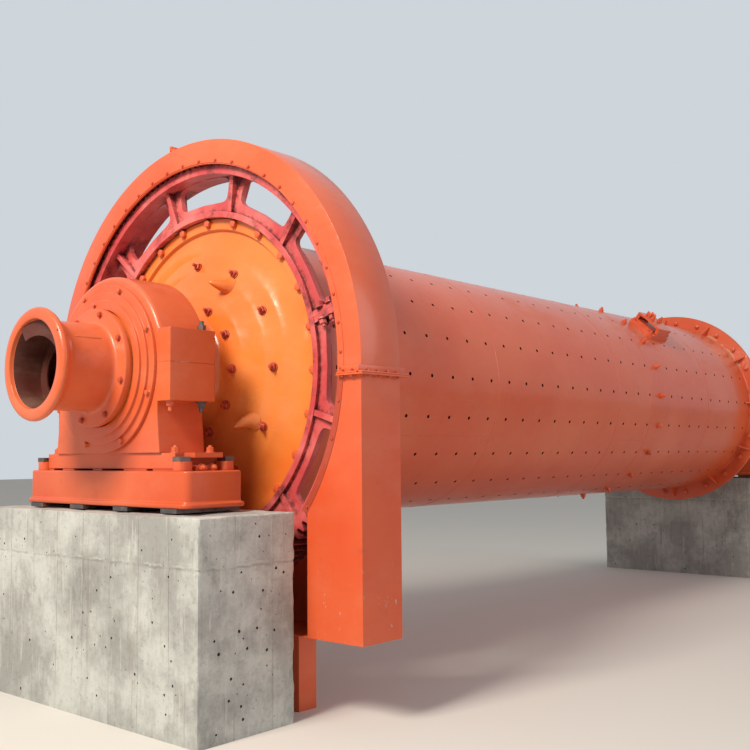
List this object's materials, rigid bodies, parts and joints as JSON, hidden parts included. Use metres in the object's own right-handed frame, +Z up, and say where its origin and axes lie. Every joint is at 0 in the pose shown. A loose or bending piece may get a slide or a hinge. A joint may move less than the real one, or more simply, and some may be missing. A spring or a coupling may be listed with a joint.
{
  "type": "ball mill",
  "caption": "Tube ball mill: long drum with a spoked girth gear in its guard, turning on two trunnion bearings on concrete piers.",
  "frame": {"origin": "on the ground, under the mill's axis, midway between the two mouths", "axes": "+X along the mill's axis from the geared end, +Z up, -Y the side that the picture shows"},
  "size_m": [10.134, 3.28, 3.7291],
  "materials": {
    "enamel": "gloss orange enamel over cast and rolled steel",
    "gear_red": "red primer on a steel casting",
    "concrete": "board-formed concrete",
    "steel": "bare mild steel plate",
    "bush_metal": "machined bearing metal"
  },
  "bodies": {
    "root": {"near_pier": "concrete", "far_pier": "concrete", "near_packing": "steel", "far_packing": "steel", "near_sole_plate": "enamel", "far_sole_plate": "enamel", "near_bearing_base": "enamel", "far_bearing_base": "enamel", "near_bush": "bush_metal", "far_bush": "bush_metal", "near_bearing_cap": "enamel", "far_bearing_cap": "enamel", "near_outer_cover": "enamel", "far_outer_cover": "enamel", "near_inner_cover": "enamel", "far_inner_cover": "enamel", "near_foot_clamps": "enamel", "far_foot_clamps": "enamel", "guard_crown_right": "enamel", "guard_crown_left": "enamel", "guard_leg_right": "enamel", "guard_leg_left": "enamel", "guard_pan": "enamel", "guard_posts": "enamel"},
    "drum": {"shell": "enamel", "near_flange": "enamel", "far_flange": "enamel", "near_head": "enamel", "far_head": "enamel", "near_head_lugs": "enamel", "far_head_lugs": "enamel", "gear_upper": "gear_red", "gear_lower": "gear_red", "near_snout": "enamel", "far_snout": "enamel", "manhole_frame": "enamel", "manhole_cover": "enamel", "manhole_clamp": "enamel"}
  },
  "joints": [
    {"name": "drum_spin", "type": "hinge", "parent": "root", "child": "drum", "pos_m": [0, 0, 2.1], "axis": [1, 0, 0], "continuous": true}
  ]
}
